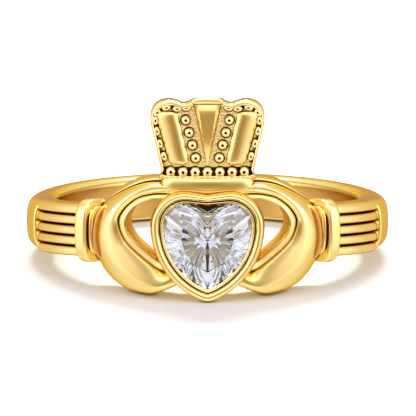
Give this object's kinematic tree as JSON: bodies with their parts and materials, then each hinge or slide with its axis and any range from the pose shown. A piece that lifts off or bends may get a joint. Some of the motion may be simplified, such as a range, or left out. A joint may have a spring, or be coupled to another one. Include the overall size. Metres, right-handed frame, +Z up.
{
  "type": "claddagh ring",
  "caption": "Finger ring whose ribbed shoulders end in two hands that hold a crowned heart with a set heart-cut stone.",
  "frame": {"origin": "middle of the ring's footprint on the surface that it lies on", "axes": "+Z up from that surface, to the side of the crown's points; -Y out through the heart; +X to the right of a viewer who faces the heart"},
  "size_m": [0.0206, 0.0219, 0.0113],
  "materials": {
    "gold": "polished",
    "stone": "polished"
  },
  "bodies": {
    "root": {"ring_casting": "gold", "heart_stone": "stone"}
  },
  "joints": []
}
